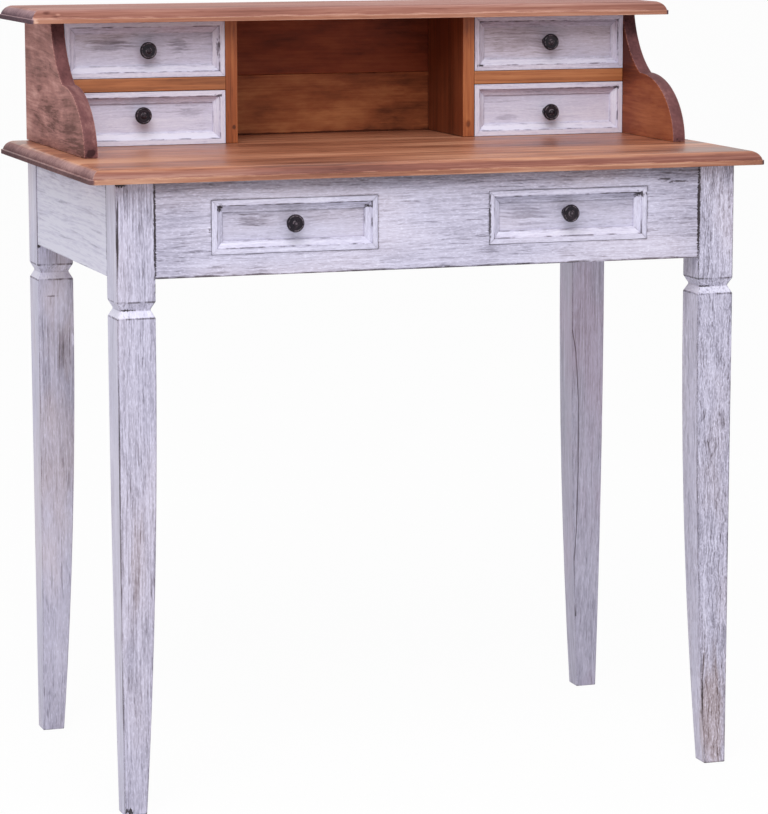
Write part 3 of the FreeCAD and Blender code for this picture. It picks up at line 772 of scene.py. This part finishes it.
APRON_GRAINS = {"front_apron": "X", "rear_apron": "X", "left_apron": "Y", "right_apron": "Y"}
APRON_LOOKS = {
    "front_apron": dict(
        shift=0.83, cover=0.71, hairs=0.65, strokes=1.2, wear=0.35, grime_and_shade=0.1,
        spots=(
            ((-0.3695, -0.243, 0.75), (0.0014, 0.01, 0.075), 0.9),
            ((0.3695, -0.243, 0.755), (0.0018, 0.01, 0.07), 0.9),
            ((-0.299, -0.243, 0.7495), (0.002, 0.004, 0.004), 0.5),
            ((0.321, -0.243, 0.7955), (0.013, 0.004, 0.0018), 0.5),
            ((0.338, -0.243, 0.792), (0.018, 0.004, 0.002), 0.4),
        ),
        patches=(
            ((-0.34, -0.243, 0.77), (0.05, 0.01, 0.035), 0.06),
            ((0.345, -0.243, 0.785), (0.05, 0.01, 0.03), 0.05),
        ),
    ),
    "rear_apron": dict(shift=1.40, cover=0.70),
    # The left apron's high cover is partly painted light on that side
    "left_apron": dict(shift=1.97, cover=0.94, hairs=0.9, warmth=0.0, run=4.0, fine=0.55),
    "right_apron": dict(shift=2.54, cover=0.72, run=4.0, fine=0.55),
}


def under_edge(low, high, long_board, joint_y):
    """Painted shadow below the desk top and, on a long apron, less paint near its ends and in a line along
    its foot.

    A side apron can have a dark joint line beside a leg, at that y.
    """
    def shade(shader, paint):
        place = shader.parts(shader.place())
        # Painted shadow below the desk top
        paint = shader.less(paint, shader.ramp(place["Z"], high - UNDER_TOP_SHADOW, high), UNDER_TOP_SHADOW_LOSS)
        if long_board:
            off_middle = shader.math("ABSOLUTE", place["X"])
            paint = shader.less(paint, shader.ramp(off_middle, *APRON_ENDS), APRON_ENDS_LOSS)
            level = shader.sway(place["Z"], shader.noise(shader.place(), *FOOT_WAVER_NOISE), FOOT_WAVER)
            upright = shader.math("SUBTRACT", 1.0, shader.facing(DOWN, *FOOT_UNDERSIDE))
            line = shader.fade(level, low + FOOT_LINE[0], low + FOOT_LINE[1])
            foot = shader.product(shader.broken(*FOOT_BREAKS), upright, line)
            paint = shader.less(paint, foot, FOOT_LOSS)
        if joint_y is not None:
            line = shader.fade(shader.distance(place["Y"], joint_y), *JOINT_LINE)
            joint = shader.product(shader.broken(*JOINT_BREAKS), line)
            paint = shader.less(paint, joint, JOINT_LOSS)
        return paint
    return shade


def dress_aprons():
    for node, look in APRON_LOOKS.items():
        axis = APRON_GRAINS[node]
        low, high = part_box(node)
        joint_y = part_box("leg_front_left")[1].y if node == "left_apron" else None
        shade = under_edge(low.z, high.z, axis == "X", joint_y)
        dress(node, whitewash("whitewash_" + node, lengthways(axis), shade=shade, **look), FINE_ARRIS)


# Drawer fronts: how far in from the rim the moulding's step and toe lie, where dark lines are full and
# end, how strong they are on the step, the toe and the mitres, and the painted shade and painted light on
# slopes that look down and up
STEP_INSET = 0.0072
TOE_INSET = 0.0156
MOULDING_LINE = (0.0003, 0.0012)
STEP_LOSS = 0.55
TOE_LOSS = 0.22
MITRE_LOSS = 0.16
MOULDING_BREAKS = (55.0, 0.42, 0.62)
DOWNWARD_SHADE = 0.22
UPWARD_LIGHT = 0.10

# Wood of the first drawer and steps to that of the next and of its moulding; more paint on the moulding
DRAWER_SHIFT = 4.1
DRAWER_SHIFT_STEP = 0.37
MOULDING_SHIFT = 0.2
MOULDING_EXTRA_COVER = 0.13
FIELD_LOOK = dict(hairs=0.4, strokes=0.7, grime_and_shade=0.1, swirl=0.006)
MOULDING_LOOK = dict(hairs=0.7, strokes=0.9, wear=0.1, grime_and_shade=0.4)

# Cover and warmth of each field, how much painted shade darkens it towards its upper edge, its patches,
# and strokes in the corners of its moulding
DRAWER_LOOKS = {
    "desk_drawer_left": dict(
        cover=0.67, warmth=0.4, fall=0.35,
        patches=(((-0.2395, -0.2345, 0.7594), (0.03, 0.01, 0.01), 0.22),),
        strokes=(
            ((-0.285, -0.242, 0.776), (0.0045, 0.01, 0.006), 0.8),
            ((-0.088, -0.24, 0.773), (0.0055, 0.01, 0.0022), 0.9),
        ),
    ),
    "desk_drawer_right": dict(
        cover=0.67, warmth=0.4, fall=0.35,
        patches=(((0.1283, -0.2345, 0.7535), (0.04, 0.01, 0.016), 0.16),),
        strokes=(
            ((0.286, -0.242, 0.777), (0.01, 0.01, 0.005), 0.7),
            ((0.0772, -0.243, 0.752), (0.0016, 0.01, 0.04), 0.6),
        ),
    ),
    # The upper drawers' lower cover is partly painted shade under the hutch top
    "hutch_drawer_upper_left": dict(
        cover=0.78, warmth=0.7, fall=0.35,
        patches=(
            ((-0.3374, 0.1065, 0.967), (0.035, 0.01, 0.014), 0.26),
            ((-0.2404, 0.1065, 0.964), (0.02, 0.01, 0.012), 0.22),
        ),
        strokes=(((-0.189, 0.101, 0.96), (0.003, 0.01, 0.016), 0.5),),
    ),
    "hutch_drawer_upper_right": dict(
        cover=0.69, warmth=0.7, fall=0.35,
        patches=(((0.25, 0.1065, 0.96), (0.07, 0.01, 0.02), 0.14),),
        strokes=(((0.189, 0.101, 0.9285), (0.006, 0.01, 0.0022), 0.7),),
    ),
    "hutch_drawer_lower_left": dict(
        cover=0.82, warmth=0.0, fall=0.40,
        patches=(((-0.2275, 0.1065, 0.8734), (0.022, 0.01, 0.01), 0.14),),
        strokes=(((-0.189, 0.101, 0.8955), (0.006, 0.01, 0.0022), 0.8),),
    ),
    "hutch_drawer_lower_right": dict(
        cover=0.82, warmth=0.0, fall=0.40,
        patches=(((0.2311, 0.1065, 0.8557), (0.016, 0.01, 0.008), 0.18),),
        strokes=(((0.393, 0.101, 0.895), (0.006, 0.01, 0.003), 0.8),),
    ),
}


def shaded_field(node, fall):
    """Painted shade towards the upper edge of a drawer front's field, paler towards its foot."""
    low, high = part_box(node)
    middle_z = (low.z + high.z) / 2

    def shade(shader, paint):
        height = shader.math("SUBTRACT", shader.parts(shader.place())["Z"], middle_z)
        return shader.less(paint, shader.math("DIVIDE", height, high.z - low.z), fall)

    return shade


def moulding_dirt_and_shade(node):
    """Painted shade on downward slopes, painted light on upward ones; broken dark lines along step, toe
    and mitres.
    """
    def shade(shader, paint):
        # Painted shade on slopes that look down, painted light on those that look up
        paint = shader.less(paint, shader.facing(DOWN, *SLOPING), DOWNWARD_SHADE)
        paint = shader.more(paint, shader.facing(UP, *SLOPING), UPWARD_LIGHT)
        past_x, past_z = past_edges(shader, node)
        rim = shader.math("MAXIMUM", past_x, past_z)
        broken = shader.broken(*MOULDING_BREAKS)
        # The step and toe lines are grime and painted shade; the mitre lines are dark joints
        lines = (
            (shader.math("ADD", rim, STEP_INSET), STEP_LOSS),
            (shader.math("ADD", rim, TOE_INSET), TOE_LOSS),
            (shader.math("SUBTRACT", past_x, past_z), MITRE_LOSS),
        )
        for away, loss in lines:
            line = shader.fade(shader.math("ABSOLUTE", away), *MOULDING_LINE, loss)
            paint = shader.less(paint, shader.product(broken, line))
        return paint
    return shade


def dress_drawer_fronts():
    for number, (drawer, look) in enumerate(DRAWER_LOOKS.items()):
        shift = DRAWER_SHIFT + DRAWER_SHIFT_STEP * number
        front = drawer + "_front"
        field = whitewash(
            "whitewash_" + front, lengthways("X"), shift, look["cover"], warmth=look["warmth"],
            shade=shaded_field(front, look["fall"]), patches=look["patches"], **FIELD_LOOK,
        )
        dress(front, field)
        rim = drawer + "_moulding"
        edging = whitewash(
            "whitewash_" + rim, mitred(rim), shift + MOULDING_SHIFT, look["cover"] + MOULDING_EXTRA_COVER,
            warmth=look["warmth"] / 2, shade=moulding_dirt_and_shade(rim), spots=look["strokes"], **MOULDING_LOOK,
        )
        dress(rim, edging, FINE_ARRIS)


# Tops: height of the edge's lip and its soft border, and distance from the end where its look begins
# and is full
LIP_HEIGHT = 0.006
LIP_BLEND = 0.0008
END_STRIP_START = 0.0055
END_STRIP_FULL = 0.0035

# Base tone and share of the grain's tone on the front edge and on the ends; the ends get painted
# reflection above the lip and where they look up
EDGE_TONE = (0.2, 0.6)
END_TONE = (0.10, 0.38)
END_ROUND_REFLECTION = 0.19
END_UPWARD = (0.2, 0.9)
END_UPWARD_REFLECTION = 0.36
EDGE_FRONT = (0.35, 0.75)


def moulded_board(node, board, rounding, lip, end):
    """A top whose front edge is redder on its round and paler on its lip; its ends are dull and even."""
    lip_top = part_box(node)[0].z + LIP_HEIGHT
    end_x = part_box(node)[1].x

    def choose(shader, tone):
        place = shader.parts(shader.place())
        off_middle = shader.math("ABSOLUTE", place["X"])
        strip = shader.ramp(off_middle, end_x - END_STRIP_START, end_x - END_STRIP_FULL)
        dull = shader.math("MAXIMUM", ends(shader), strip)
        above = shader.ramp(place["Z"], lip_top - LIP_BLEND, lip_top + LIP_BLEND)
        soft = shader.evened(tone, *EDGE_TONE)
        edge = shader.mix(above, grade(shader, soft, lip), grade(shader, soft, rounding))
        # Painted reflection: ends lighter above the lip and where they look up
        even = shader.more(shader.evened(tone, *END_TONE), above, END_ROUND_REFLECTION)
        even = shader.more(even, shader.facing(UP, *END_UPWARD), END_UPWARD_REFLECTION)
        long_grain = shader.mix(shader.facing(FRONT, *EDGE_FRONT), grade(shader, tone, board), edge)
        return shader.mix(dull, long_grain, grade(shader, even, end))

    return choose


# Spots below zero are paler places, here and in the hutch
TOP_LOOKS = {
    "desk_top": dict(
        shift=0.0, colours=moulded_board("desk_top", DESK_BOARD, DESK_ROUND, DESK_LIP, DESK_END),
        contrast=1.8, fibres=1.4, shine=0.36, gloss=0.28,
        spots=(
            # The first two spots are painted reflection: the glossy top darker towards the right front,
            # paler at the left front
            ((0.42, -0.2, 0.83), (0.38, 0.3, 0.1), 0.18),
            ((-0.42, -0.1, 0.83), (0.16, 0.3, 0.02), -0.12),
            ((-0.456, 0.18, 0.818), (0.01, 0.13, 0.02), 0.18),
            ((-0.456, -0.14, 0.816), (0.01, 0.05, 0.008), 0.25),
        ),
    ),
    "hutch_top": dict(
        shift=0.9, colours=moulded_board("hutch_top", HUTCH_BOARD, HUTCH_ROUND, HUTCH_LIP, HUTCH_END),
        fibres=1.2, shine=0.6, gloss=0.12,
        spots=(
            ((-0.45, 0.059, 1.0116), (0.005, 0.012, 0.0034), -0.9),
            ((-0.4515, 0.058, 1.003), (0.0056, 0.012, 0.0032), -0.9),
            ((-0.4488, 0.058, 0.9987), (0.0056, 0.012, 0.003), -0.9),
            ((-0.418, 0.058, 1.0086), (0.0056, 0.012, 0.003), -0.8),
            ((-0.4528, 0.058, 1.0077), (0.007, 0.012, 0.0028), 0.8),
            ((-0.4326, 0.06, 1.012), (0.008, 0.012, 0.004), 0.7),
            ((-0.422, 0.058, 1.006), (0.01, 0.012, 0.0024), 0.7),
            ((-0.4596, 0.058, 1.0026), (0.005, 0.012, 0.005), 0.7),
        ),
    ),
}


def dress_tops():
    for node, look in TOP_LOOKS.items():
        # Wear pales the tops' arrises, as wear and as painted glints
        wood = brown("brown_" + node, lengthways("X"), wear=0.7, dull_ends=True, **look)
        dress(node, wood, TOP_ARRIS)


# Hutch sides: where the painted shadow on edge and inner face begins and is full, upwards and to the back
PANEL_EDGE_SHADOW_HEIGHTS = (0.90, 1.0)
PANEL_INNER_SHADOW_HEIGHTS = (0.862, 0.955)
PANEL_INNER_SHADOW_DEPTHS = (0.02, 0.11)

# Base tone and its painted shadow towards the top on each side's shaped edge; tones of the inner faces and
# their painted shadow
PANEL_EDGE_TONES = {"left": (0.29, 0.26), "right": (0.18, 0.38)}
PANEL_EDGE_GRAIN = 0.5
PANEL_INNER_TONE = (0.22, 0.8)
PANEL_INNER_SHADOW = 0.52
PANEL_INNER_DEEP_SHADOW = 0.34
BACK_REAR_TONE = (0.25, 0.4)

# Wood of the first side, steps to that of the other side, and of the divider and the shelf beside it
SIDE_SHIFT = 1.6
SIDE_SHIFT_STEP = 0.7
DIVIDER_SHIFT = 0.2
SHELF_SHIFT = 0.4
# Strong wear pales the side panels' arrises, as wear and as painted highlights
PANEL_LOOK = dict(contrast=0.9, fibres=0.7, mottle=1.6, waves=0.06, wear=1.6, shine=0.6, gloss=0.15)
PLAIN_LOOK = dict(contrast=0.9, fibres=0.9, mottle=0.3)

SIDE_SPOTS = {
    "left": (
        ((-0.411, -0.082, 0.8365), (0.006, 0.012, 0.005), 1.1),
        ((-0.411, 0.02, 0.908), (0.008, 0.06, 0.022), -0.4),
        ((-0.411, -0.075, 0.858), (0.007, 0.04, 0.034), 0.2),
    ),
    "right": (
        ((0.4121, -0.07, 0.8453), (0.002, 0.01, 0.002), 0.6),
        ((0.4081, -0.078, 0.8337), (0.002, 0.01, 0.002), 0.6),
        ((0.403, 0.03, 0.85), (0.003, 0.14, 0.034), -0.15),
    ),
}
SIDE_VEINS = {
    "left": (
        ((-0.42, 0.14, 0.92), (0.01, 0.3, 0.2), 0.11),
        ((-0.42, 0.13, 0.87), (0.01, 0.13, 0.036), 0.2),
        ((-0.42, -0.02, 0.848), (0.01, 0.08, 0.024), 0.24),
    ),
    "right": (),
}
DIVIDER_SPOTS = {
    "left": (
        ((-0.1681, 0.098, 0.8522), (0.004, 0.006, 0.005), 0.6),
        ((-0.171, 0.098, 0.91), (0.016, 0.012, 0.09), 0.1),
    ),
    "right": (
        ((0.1701, 0.098, 0.848), (0.004, 0.006, 0.006), 0.5),
        ((0.171, 0.098, 0.91), (0.016, 0.012, 0.09), -0.24),
    ),
}


def one_board(colours):
    return lambda shader, tone: grade(shader, tone, colours)


def back_board(colours):
    """A board of the hutch's back, more even on its rear face."""
    def choose(shader, tone):
        change = shader.math("SUBTRACT", shader.evened(tone, *BACK_REAR_TONE), tone)
        return grade(shader, shader.more(tone, shader.facing(REAR), change), colours)
    return choose


def divider_board(side):
    """An upright with painted shade on the face towards the pigeonhole."""
    def choose(shader, tone):
        inner = shader.facing(INWARD[side])
        return shader.mix(inner, grade(shader, tone, DIVIDER_BOARD), grade(shader, tone, DIVIDER_INNER_SHADED))
    return choose


def side_panel(side):
    """A hutch side: dull outside, dark on its shaped edge, warm inside, with painted shadow below the
    hutch top.

    The inner face has painted shadow beside the drawers as well.
    """
    edge_tone, edge_shadow = PANEL_EDGE_TONES[side]

    def choose(shader, tone):
        place = shader.parts(shader.place())
        edge = shader.evened(tone, edge_tone, PANEL_EDGE_GRAIN)
        # Painted shadow on the edge below the hutch top
        edge = shader.less(edge, shader.ramp(place["Z"], *PANEL_EDGE_SHADOW_HEIGHTS), edge_shadow)
        inner = shader.evened(tone, *PANEL_INNER_TONE)
        # Painted shadow on the inner face below the hutch top and beside the drawers
        inner = shader.less(inner, shader.ramp(place["Z"], *PANEL_INNER_SHADOW_HEIGHTS), PANEL_INNER_SHADOW)
        inner = shader.less(inner, shader.ramp(place["Y"], *PANEL_INNER_SHADOW_DEPTHS), PANEL_INNER_DEEP_SHADOW)
        edge_colour = grade(shader, edge, PANEL_EDGE)
        outside = shader.mix(shader.facing(OUTWARD[side]), edge_colour, grade(shader, tone, PANEL_OUTER))
        return shader.mix(shader.facing(INWARD[side]), outside, grade(shader, inner, PANEL_INNER))

    return choose


BACK_LOOKS = {
    "upper": dict(shift=3.3, colours=back_board(BACK_UPPER), contrast=0.5, fibres=0.4, mottle=1.3),
    "lower": dict(
        shift=3.9, colours=back_board(BACK_LOWER), contrast=0.6, fibres=0.5, mottle=1.9,
        spots=(
            ((0.0, 0.244, 0.831), (0.17, 0.006, 0.0022), 0.8),
            ((0.16, 0.244, 0.87), (0.09, 0.01, 0.08), 0.18),
        ),
    ),
}


def dress_hutch():
    for number, side in enumerate(OUTWARD):
        shift = SIDE_SHIFT + SIDE_SHIFT_STEP * number
        panel = brown(
            "brown_side_" + side, lengthways("Y"), shift, side_panel(side), spots=SIDE_SPOTS[side],
            veins=SIDE_VEINS[side], **PANEL_LOOK,
        )
        dress("hutch_side_" + side, panel)
        divider = brown(
            "brown_divider_" + side, lengthways("Z"), shift + DIVIDER_SHIFT, divider_board(side),
            spots=DIVIDER_SPOTS[side], **PLAIN_LOOK,
        )
        dress("hutch_divider_" + side, divider)
        shelf = brown(
            "brown_shelf_" + side, lengthways("X"), shift + SHELF_SHIFT, one_board(SHELF_BOARD),
            **PLAIN_LOOK,
        )
        dress("hutch_shelf_" + side, shelf)
    for board, look in BACK_LOOKS.items():
        wood = brown("brown_back_" + board, lengthways("X"), shine=0.5, gloss=0.2, **look)
        dress("hutch_back_" + board, wood)


def dress_inside():
    """Drawer boxes, runners, corner blocks and screws."""
    bare_long = bare("bare_long", lengthways("Y"), BARE_LONG_SHIFT)
    bare_cross = bare("bare_cross", lengthways("X"), BARE_CROSS_SHIFT)
    for drawer in DRAWERS:
        dress(drawer + "_sides", bare_long)
        dress(drawer + "_back", bare_cross)
        dress(drawer + "_bottom", bare_cross, 0)
    for node in frame["nodes"]:
        if node.startswith("drawer_runner"):
            dress(node, bare_long)
    dress("corner_blocks", bare_cross)
    dress("top_screws", steel("steel_screws"), SCREW_ARRIS)


# Knobs: outline as shares of the radius and of the height, from the foot to the centre of the button
KNOB_STEPS = 48
KNOB_OUTLINE_SHARES = (
    (0.60, 0.0), (0.60, 0.05), (0.55, 0.08), (0.43, 0.15), (0.37, 0.25), (0.36, 0.36), (0.42, 0.48),
    (0.58, 0.57), (0.84, 0.64), (0.96, 0.70), (1.0, 0.78), (0.985, 0.86), (0.93, 0.92), (0.86, 0.95),
    (0.80, 0.955), (0.77, 0.935), (0.73, 0.915), (0.68, 0.925), (0.60, 0.93), (0.50, 0.925),
    (0.40, 0.915), (0.36, 0.92), (0.335, 0.955), (0.30, 0.985), (0.22, 0.998), (0.10, 1.0),
)


def turned_knob(node, front_y):
    """Mushroom knob with a ring and a centre button, on the drawer's field, about its solid's axis."""
    low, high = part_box(node)
    radius = (high.x - low.x) / 2
    height = front_y - low.y
    foot = Vector(((low.x + high.x) / 2, front_y, (low.z + high.z) / 2))
    mesh = bmesh.new()
    rings = []
    for share, out in KNOB_OUTLINE_SHARES:
        ring = []
        for step in range(KNOB_STEPS):
            turn = 2 * math.pi * step / KNOB_STEPS
            spot = (math.cos(turn) * share * radius, -out * height, math.sin(turn) * share * radius)
            ring.append(mesh.verts.new(foot + Vector(spot)))
        rings.append(ring)
    for lower, upper in zip(rings, rings[1:]):
        for step in range(KNOB_STEPS):
            before = step - 1
            mesh.faces.new((lower[before], lower[step], upper[step], upper[before]))
    mesh.faces.new(rings[-1])
    mesh.faces.new(rings[0][::-1])
    for face in mesh.faces:
        face.smooth = True
    bmesh.ops.recalc_face_normals(mesh, faces=mesh.faces)
    data = bpy.data.meshes.new(node + "_turned")
    mesh.to_mesh(data)
    mesh.free()
    piece = bpy.data.objects.new(node + "_turned", data)
    bpy.context.scene.collection.objects.link(piece)
    return piece


def make_knobs():
    for drawer in DRAWERS:
        node = drawer + "_knob"
        field_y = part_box(drawer + "_front")[0].y
        knob = turned_knob(node, field_y)
        knob.data.materials.append(iron("iron_" + node, node))
        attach(knob, drawer)
        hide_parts(node)


def place_camera():
    back = Vector((
        math.sin(CAMERA_AZIMUTH) * math.cos(CAMERA_ELEVATION),
        -math.cos(CAMERA_AZIMUTH) * math.cos(CAMERA_ELEVATION),
        math.sin(CAMERA_ELEVATION),
    ))
    right = Vector((math.cos(CAMERA_AZIMUTH), math.sin(CAMERA_AZIMUTH), 0.0))
    up = back.cross(right)
    turn = Matrix((right, up, back)).transposed().to_4x4() @ Matrix.Rotation(-CAMERA_ROLL, 4, "Z")
    lens = bpy.data.cameras.new("camera")
    lens.lens = CAMERA_LENS_MM
    lens.sensor_width = CAMERA_SENSOR_MM
    camera = bpy.data.objects.new("camera", lens)
    camera.matrix_world = Matrix.Translation(CAMERA_PLACE) @ turn
    bpy.context.scene.collection.objects.link(camera)
    bpy.context.scene.camera = camera


def white_world():
    world = bpy.data.worlds.new("studio")
    bpy.context.scene.world = world
    world.use_nodes = True
    tree = world.node_tree
    rays = tree.nodes.new("ShaderNodeLightPath")
    seen = tree.nodes.new("ShaderNodeMath")
    seen.operation = "MAXIMUM"
    tree.links.new(rays.outputs["Is Camera Ray"], seen.inputs[0])
    tree.links.new(rays.outputs["Is Glossy Ray"], seen.inputs[1])
    strength = tree.nodes.new("ShaderNodeMapRange")
    strength.inputs["To Min"].default_value = WORLD_STRENGTH
    strength.inputs["To Max"].default_value = WORLD_SEEN_STRENGTH
    tree.links.new(seen.outputs[0], strength.inputs["Value"])
    background = tree.nodes["Background"]
    background.inputs["Color"].default_value = srgb(255, 255, 255)
    tree.links.new(strength.outputs[0], background.inputs["Strength"])


def key_lamp():
    """One large soft lamp, aimed at the middle of the desk."""
    lamp = bpy.data.lights.new("key", "AREA")
    lamp.shape = "SQUARE"
    lamp.size = KEY_SIZE
    lamp.energy = KEY_WATTS
    key = bpy.data.objects.new("key", lamp)
    aim = (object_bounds()[0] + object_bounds()[1]) / 2 - KEY_PLACE
    key.matrix_world = Matrix.Translation(KEY_PLACE) @ aim.to_track_quat("-Z", "Y").to_matrix().to_4x4()
    bpy.context.scene.collection.objects.link(key)


# Floor, paler in some places, and the share of its own glow where it is seen
FLOOR_SIZE = 60.0
FLOOR_DIM = srgb(246, 246, 247)
FLOOR_PALE = srgb(250, 250, 250)
FLOOR_SPECK_WAVES = 3.0
FLOOR_SPECK_LEVELS = (0.3, 0.7)
FLOOR_GLOW_SHARE = 0.95


def floor_white():
    """Matt white that glows where it is seen, so that the floor is pale and keeps a soft shadow."""
    shader = Shader("floor_white")
    speck = shader.ramp(shader.noise(shader.place(), FLOOR_SPECK_WAVES), *FLOOR_SPECK_LEVELS)
    pale = shader.mix(speck, FLOOR_DIM, FLOOR_PALE)
    matt = shader.node("BsdfDiffuse", {"Color": pale}).outputs[0]
    glow = shader.node("Emission", {"Strength": 1.0}).outputs[0]
    rays = shader.node("LightPath", {})
    seen = shader.math("MAXIMUM", rays.outputs["Is Camera Ray"], rays.outputs["Is Glossy Ray"])
    share = shader.math("MULTIPLY", seen, FLOOR_GLOW_SHARE)
    return shader.output(shader.node("MixShader", {0: share, 1: matt, 2: glow}).outputs[0])


def pale_floor():
    half = FLOOR_SIZE / 2
    corners = [(-half, -half, 0.0), (half, -half, 0.0), (half, half, 0.0), (-half, half, 0.0)]
    mesh = bpy.data.meshes.new("floor")
    mesh.from_pydata(corners, [], [(0, 1, 2, 3)])
    mesh.materials.append(floor_white())
    floor = bpy.data.objects.new("floor", mesh)
    bpy.context.scene.collection.objects.link(floor)


dress_legs()
dress_aprons()
dress_drawer_fronts()
dress_tops()
dress_hutch()
dress_inside()
make_knobs()
place_camera()
white_world()
key_lamp()
pale_floor()
bpy.context.scene.view_settings.view_transform = "Standard"
